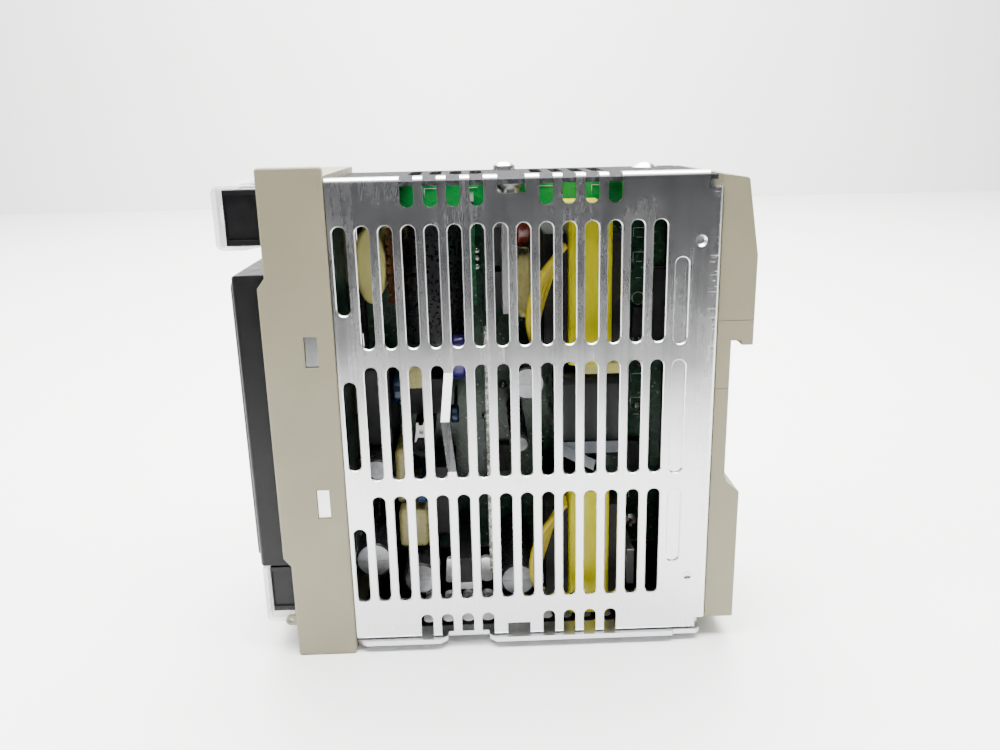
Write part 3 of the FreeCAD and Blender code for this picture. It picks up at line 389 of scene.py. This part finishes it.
BEIGE = (0.204, 0.188, 0.120)
MATERIALS = {
    "beige_plastic": moulded("beige plastic", BEIGE, 0.48),
    "aluminium_sheet": case_sheet(),
    "zinc_screw": plated("zinc plate", (0.80, 0.79, 0.76), 0.2),
    "black_plastic": moulded("black plastic", (0.007, 0.007, 0.008), 0.38, mottle=0.15,
                             Specular_IOR_Level=0.22),
    "face_film": moulded("face film", (0.05, 0.052, 0.056), 0.45, grain=1400.0),
    "clear_cover": milky_cover(),
    "tinted_window": clear_plastic("tinted window", (0.32, 0.035, 0.03)),
    "display_body": moulded("display body", (0.045, 0.045, 0.047), 0.55),
    "key_plastic": moulded("key plastic", (0.14, 0.145, 0.15), 0.5),
    "lens": clear_plastic("indicator lens", (0.62, 0.85, 0.60), 0.12),
    "trimmer_blue": moulded("trimmer body", (0.03, 0.09, 0.30), 0.45),
    "trimmer_rotor": moulded("trimmer rotor", (0.72, 0.71, 0.66), 0.45),
    "board_green": circuit_board("solder resist", (0.004, 0.075, 0.026), (0.008, 0.11, 0.040)),
    "insulation_film": moulded("insulation film", (0.50, 0.49, 0.44), 0.3),
    "steel": plated("spring steel", (0.55, 0.55, 0.56), 0.28),
    "brass_nickel": plated("nickel plate", (0.74, 0.72, 0.66), 0.24),
    "ferrite": ferrite("ferrite", (0.010, 0.010, 0.011)),
    "yellow_tape": tape("yellow tape", (0.52, 0.48, 0.002), 0.34),
    "pale_bobbin": moulded("pale bobbin", (0.46, 0.43, 0.13), 0.4),
    "slate_tape": tape("slate tape", (0.007, 0.009, 0.010), 0.45),
    "cream_plastic": moulded("cream bobbin", (0.52, 0.48, 0.17), 0.34),
    "copper_wire": enamelled_wire("enamelled copper", (0.22, 0.09, 0.035)),
    "can_sleeve": dipped("capacitor sleeve", (0.022, 0.022, 0.026)),
    "can_top": plated("bare aluminium", (0.42, 0.43, 0.45), 0.36),
    "film_cap": dipped("cream epoxy", (0.36, 0.32, 0.12)),
    "maroon_disc": dipped("maroon epoxy", (0.15, 0.022, 0.010)),
    "blue_disc": blue_dip(),
    "heatsink": sheet_metal("heat sink aluminium", (0.78, 0.79, 0.80), 0.33,
                            (900.0, 60.0, 20.0)).material,
    "epoxy_black": moulded("chip package", (0.020, 0.020, 0.022), 0.5),
    "grey_tape": tape("grey tape", (0.22, 0.24, 0.27), 0.4),
    "nylon_white": moulded("white nylon", (0.80, 0.80, 0.76), 0.4),
    "yellow_sleeve": moulded("yellow sleeve", (0.38, 0.30, 0.004), 0.4),
}
PANEL_METAL = scuffed_panel()
# painted shade: the main and daughter boards inside the case get a darker copy of the green resist
SHADED_RESIST, SHADED_TRACK = (0.004, 0.060, 0.024), (0.007, 0.085, 0.034)
MAIN_BOARD = circuit_board("main board resist", SHADED_RESIST, SHADED_TRACK, lit_top_z=LIT_BOARD_TOP_Z)
EDGE_BOARD = circuit_board("daughter board resist", SHADED_RESIST, SHADED_TRACK, cut_edge=BOARD_CUT_X)
SOLDER = plated("solder", (0.60, 0.60, 0.57), 0.25)
LEGEND = moulded("white legend ink", (0.62, 0.66, 0.62), 0.5)


def dress_frame():
    """Gives every CAD node the material of its slot."""
    slots = {part["node"]: part["material_slot"] for part in frame["record"]["subparts"]}
    for name, obj in NODES.items():
        obj.data.materials.clear()
        obj.data.materials.append(MATERIALS[slots[name]])
    NODES["side_panel"].data.materials[0] = PANEL_METAL
    NODES["main_board"].data.materials[0] = MAIN_BOARD
    NODES["daughter_board"].data.materials[0] = EDGE_BOARD


EDGE_RADIUS = {             # millimetres
    "front_bezel": 0.6, "rear_mount": 0.4, "rail_stopper": 0.3, "front_panel": 0.25,
    "upper_terminal_block": 0.3, "lower_terminal_block": 0.3, "face_plate": 0.15, "taped_choke": 0.5,
    "transformer_cores": 0.3, "daughter_board": 0.1, "driver_board": 0.1, "small_chips": 0.2,
    "heatsinks": 0.15, "power_transistors": 0.25, "nylon_clip": 0.3, "chassis": 0.12,
    "main_board": 0.1, "bridge_rectifier": 0.3,
}


def soften_edges():
    for name, radius in EDGE_RADIUS.items():
        obj = NODES[name]
        weld = obj.modifiers.new("weld", "WELD")
        weld.merge_threshold = 0.000002
        bevel = obj.modifiers.new("soft edges", "BEVEL")
        bevel.width = radius * MM
        bevel.segments = 2
        bevel.limit_method = "ANGLE"
        bevel.angle_limit = math.radians(35)
        bevel.harden_normals = True


# ------------------------------------------------------------------ mesh helpers

def finish_piece(name, bm, material):
    """Smooth mesh piece that stays with the case and takes the finish it is given."""
    mesh = bpy.data.meshes.new(name)
    bmesh.ops.recalc_face_normals(bm, faces=bm.faces)
    bm.to_mesh(mesh)
    bm.free()
    for polygon in mesh.polygons:
        polygon.use_smooth = True
    mesh.materials.append(material)
    obj = bpy.data.objects.new(name, mesh)
    bpy.context.scene.collection.objects.link(obj)
    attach(obj, "case")
    return obj


def tube_path(bm, points, radius, sides=10, closed=False):
    """Round wire along a list of points, with parallel-carried rings."""
    count = len(points)
    rings = []
    normal = None
    for index, point in enumerate(points):
        ahead = points[(index + 1) % count] if closed or index + 1 < count else point
        behind = points[index - 1] if closed or index > 0 else point
        tangent = (ahead - behind).normalized()
        if normal is None:
            normal = tangent.orthogonal().normalized()
        normal = (normal - tangent * normal.dot(tangent)).normalized()
        other = tangent.cross(normal)
        ring = []
        for side in range(sides):
            angle = 2 * math.pi * side / sides
            spoke = normal * math.cos(angle) + other * math.sin(angle)
            ring.append(bm.verts.new(point + spoke * radius))
        rings.append(ring)
    pairs = list(zip(rings, rings[1:] + rings[:1] if closed else rings[1:]))
    for ring, following in pairs:
        for side in range(sides):
            after = (side + 1) % sides
            bm.faces.new((ring[side], ring[after], following[after], following[side]))
    if not closed:
        bm.faces.new(list(reversed(rings[0])))
        bm.faces.new(rings[-1])


def coil_spring():
    """The stopper's spring: the CAD one's coil."""
    bm = bmesh.new()
    turns, wire, radius, z0, z1 = 5, 0.0003, 0.0013, 0.0166, 0.0294
    centre_y = 0.0543
    steps = turns * 24
    path = []
    for i in range(steps + 1):
        angle = 2 * math.pi * turns * i / steps
        height = z0 + (z1 - z0) * i / steps
        path.append(Vector((radius * math.cos(angle), centre_y + radius * math.sin(angle), height)))
    tube_path(bm, path, wire, 8)
    spring = finish_piece("return_spring", bm, MATERIALS["steel"])
    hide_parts("stopper_spring")
    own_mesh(spring)


# ------------------------------------------------------------------ small pieces

def ball(bm, centre, radius, squash=(1, 1, 1)):
    made = bmesh.ops.create_icosphere(bm, subdivisions=2, radius=radius)["verts"]
    for vert in made:
        vert.co = Vector([centre[i] + vert.co[i] * squash[i] for i in range(3)])


def mm(*values):
    return Vector(values) * MM


def solder_joints():
    """Solder on both faces of the driver board, and on the main board's free areas."""
    bm = bmesh.new()
    for z in (92.8, 94.9, 96.6):
        for y in (-2.75, -4.75):
            ball(bm, mm(11.2, y, z), 0.0008, (1.0, 0.8, 0.8))
    board_places = ((46.2, 83.0), (45.4, 81.2), (41.0, 47.5), (39.6, 25.0), (42.0, 60.0),
                    (3.5, 55.0), (-1.6, 46.0))
    for y, z in board_places:
        ball(bm, mm(-19.4, y, z), 0.0011, (0.8, 1.0, 1.0))
    finish_piece("solder_joints", bm, SOLDER)


def legend_marks():
    """Part outlines printed on the main board: plain lines and rings, no lettering."""
    bm = bmesh.new()
    surface = -19.52            # just above the main board's face, in millimetres
    line = 0.00011

    def stroke(y0, z0, y1, z1):
        tube_path(bm, [mm(surface, y0, z0), mm(surface, y1, z1)], line, 6)

    def ring(y, z, radius):
        angles = [2 * math.pi * i / 20 for i in range(20)]
        loop = [mm(surface, y + radius * math.cos(a), z + radius * math.sin(a)) for a in angles]
        tube_path(bm, loop, line, 6, closed=True)

    ring(41.0, 78.4, 1.7)
    ring(40.6, 66.8, 0.9)
    for z in (97.5, 91.0, 72.5, 57.0, 50.0, 34.0, 22.0):
        stroke(39.4, z, 42.6, z)
        stroke(39.4, z, 39.4, z - 2.4)
        stroke(42.6, z, 42.6, z - 2.4)
    for z in (95.0, 88.5, 84.0, 62.0, 45.0):
        stroke(40.2, z, 41.8, z)
    for y in (-16.0, -6.0, 0.0, 14.0, 28.0):
        stroke(y, 109.0, y + 4.0, 109.0)
        stroke(y, 109.0, y, 106.6)
    finish_piece("legend_marks", bm, LEGEND)


# ------------------------------------------------------------------ studio

def add_plane(name, corners, material):
    mesh = bpy.data.meshes.new(name)
    mesh.from_pydata([Vector(c) for c in corners], [], [(0, 1, 2, 3)])
    mesh.materials.append(material)
    obj = bpy.data.objects.new(name, mesh)
    bpy.context.scene.collection.objects.link(obj)
    return obj


def studio():
    white = pale_table()
    floor_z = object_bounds()[0][2]
    add_plane("table", ((TABLE_BACK_X, -TABLE_HALF, floor_z), (TABLE_FRONT_X, -TABLE_HALF, floor_z),
                        (TABLE_FRONT_X, TABLE_HALF, floor_z), (TABLE_BACK_X, TABLE_HALF, floor_z)), white)
    add_plane("backdrop", ((TABLE_BACK_X, -TABLE_HALF, floor_z), (TABLE_BACK_X, TABLE_HALF, floor_z),
                           (TABLE_BACK_X, TABLE_HALF, BACKDROP_TOP_Z),
                           (TABLE_BACK_X, -TABLE_HALF, BACKDROP_TOP_Z)), white)
    area_light("ceiling softbox", (-0.32, 0.0, 1.2), (-0.1, 0, 0.05), (1.2, 1.7), CEILING_POWER)
    area_light("wall wash", (-0.55, 0.0, 1.0), (-1.3, 0, 0.35), (0.4, 1.6), WALL_POWER)
    area_light("camera side softbox", (0.75, 0.1, 0.75), (0, 0, 0.06), (0.5, 0.5), SIDE_POWER)
    area_light("table light", (0.22, 0.0, 0.75), (0.22, 0.0, 0.0), (0.25, 1.4), TABLE_POWER)
    area_light("front fill", (0.5, -0.9, 0.7), (0, -0.03, 0.05), (0.7, 0.9), FRONT_POWER)
    room_light()


def room_light():
    """Pale room all round, darker low down on the camera's side."""
    world = bpy.data.worlds.new("room")
    bpy.context.scene.world = world
    world.use_nodes = True
    tree = world.node_tree
    place = tree.nodes.new("ShaderNodeTexCoord").outputs["Generated"]
    split = tree.nodes.new("ShaderNodeSeparateXYZ")
    tree.links.new(place, split.inputs["Vector"])

    def span(value, low, high, to_low, to_high):
        node = tree.nodes.new("ShaderNodeMapRange")
        for socket, number in zip(RANGE_SOCKETS, (low, high, to_low, to_high)):
            node.inputs[socket].default_value = number
        tree.links.new(value, node.inputs["Value"])
        return node.outputs["Result"]

    towards = span(split.outputs["X"], 0.15, 0.6, 0.0, 1.0)
    low = span(split.outputs["Z"], 0.05, 0.5, 1.0, 0.0)
    both = tree.nodes.new("ShaderNodeMath")
    both.operation = "MULTIPLY"
    tree.links.new(towards, both.inputs[0])
    tree.links.new(low, both.inputs[1])
    tint = tree.nodes.new("ShaderNodeMix")
    tint.data_type = "RGBA"
    colors = [socket for socket in tint.inputs if socket.type == "RGBA"]
    colors[0].default_value = (*ROOM_PALE, 1.0)
    colors[1].default_value = (*ROOM_DARK, 1.0)
    tree.links.new(both.outputs[0], tint.inputs["Factor"])
    result = [socket for socket in tint.outputs if socket.type == "RGBA"][0]
    tree.links.new(result, tree.nodes["Background"].inputs["Color"])


def area_light(name, place, target, size, power):
    data = bpy.data.lights.new(name, "AREA")
    data.shape = "RECTANGLE"
    data.size, data.size_y = size
    data.energy = power
    data.color = LIGHT_COLOR
    obj = bpy.data.objects.new(name, data)
    obj.location = place
    obj.rotation_euler = (Vector(target) - Vector(place)).to_track_quat("-Z", "Y").to_euler()
    bpy.context.scene.collection.objects.link(obj)


def camera():
    data = bpy.data.cameras.new("camera")
    data.lens = CAMERA_LENS
    data.sensor_width = 36.0
    data.clip_start = 0.01
    obj = bpy.data.objects.new("camera", data)
    obj.location = CAMERA_PLACE
    obj.rotation_euler = CAMERA_TURN
    bpy.context.scene.collection.objects.link(obj)
    bpy.context.scene.camera = obj


camera()
studio()
dress_frame()
soften_edges()
coil_spring()
solder_joints()
legend_marks()
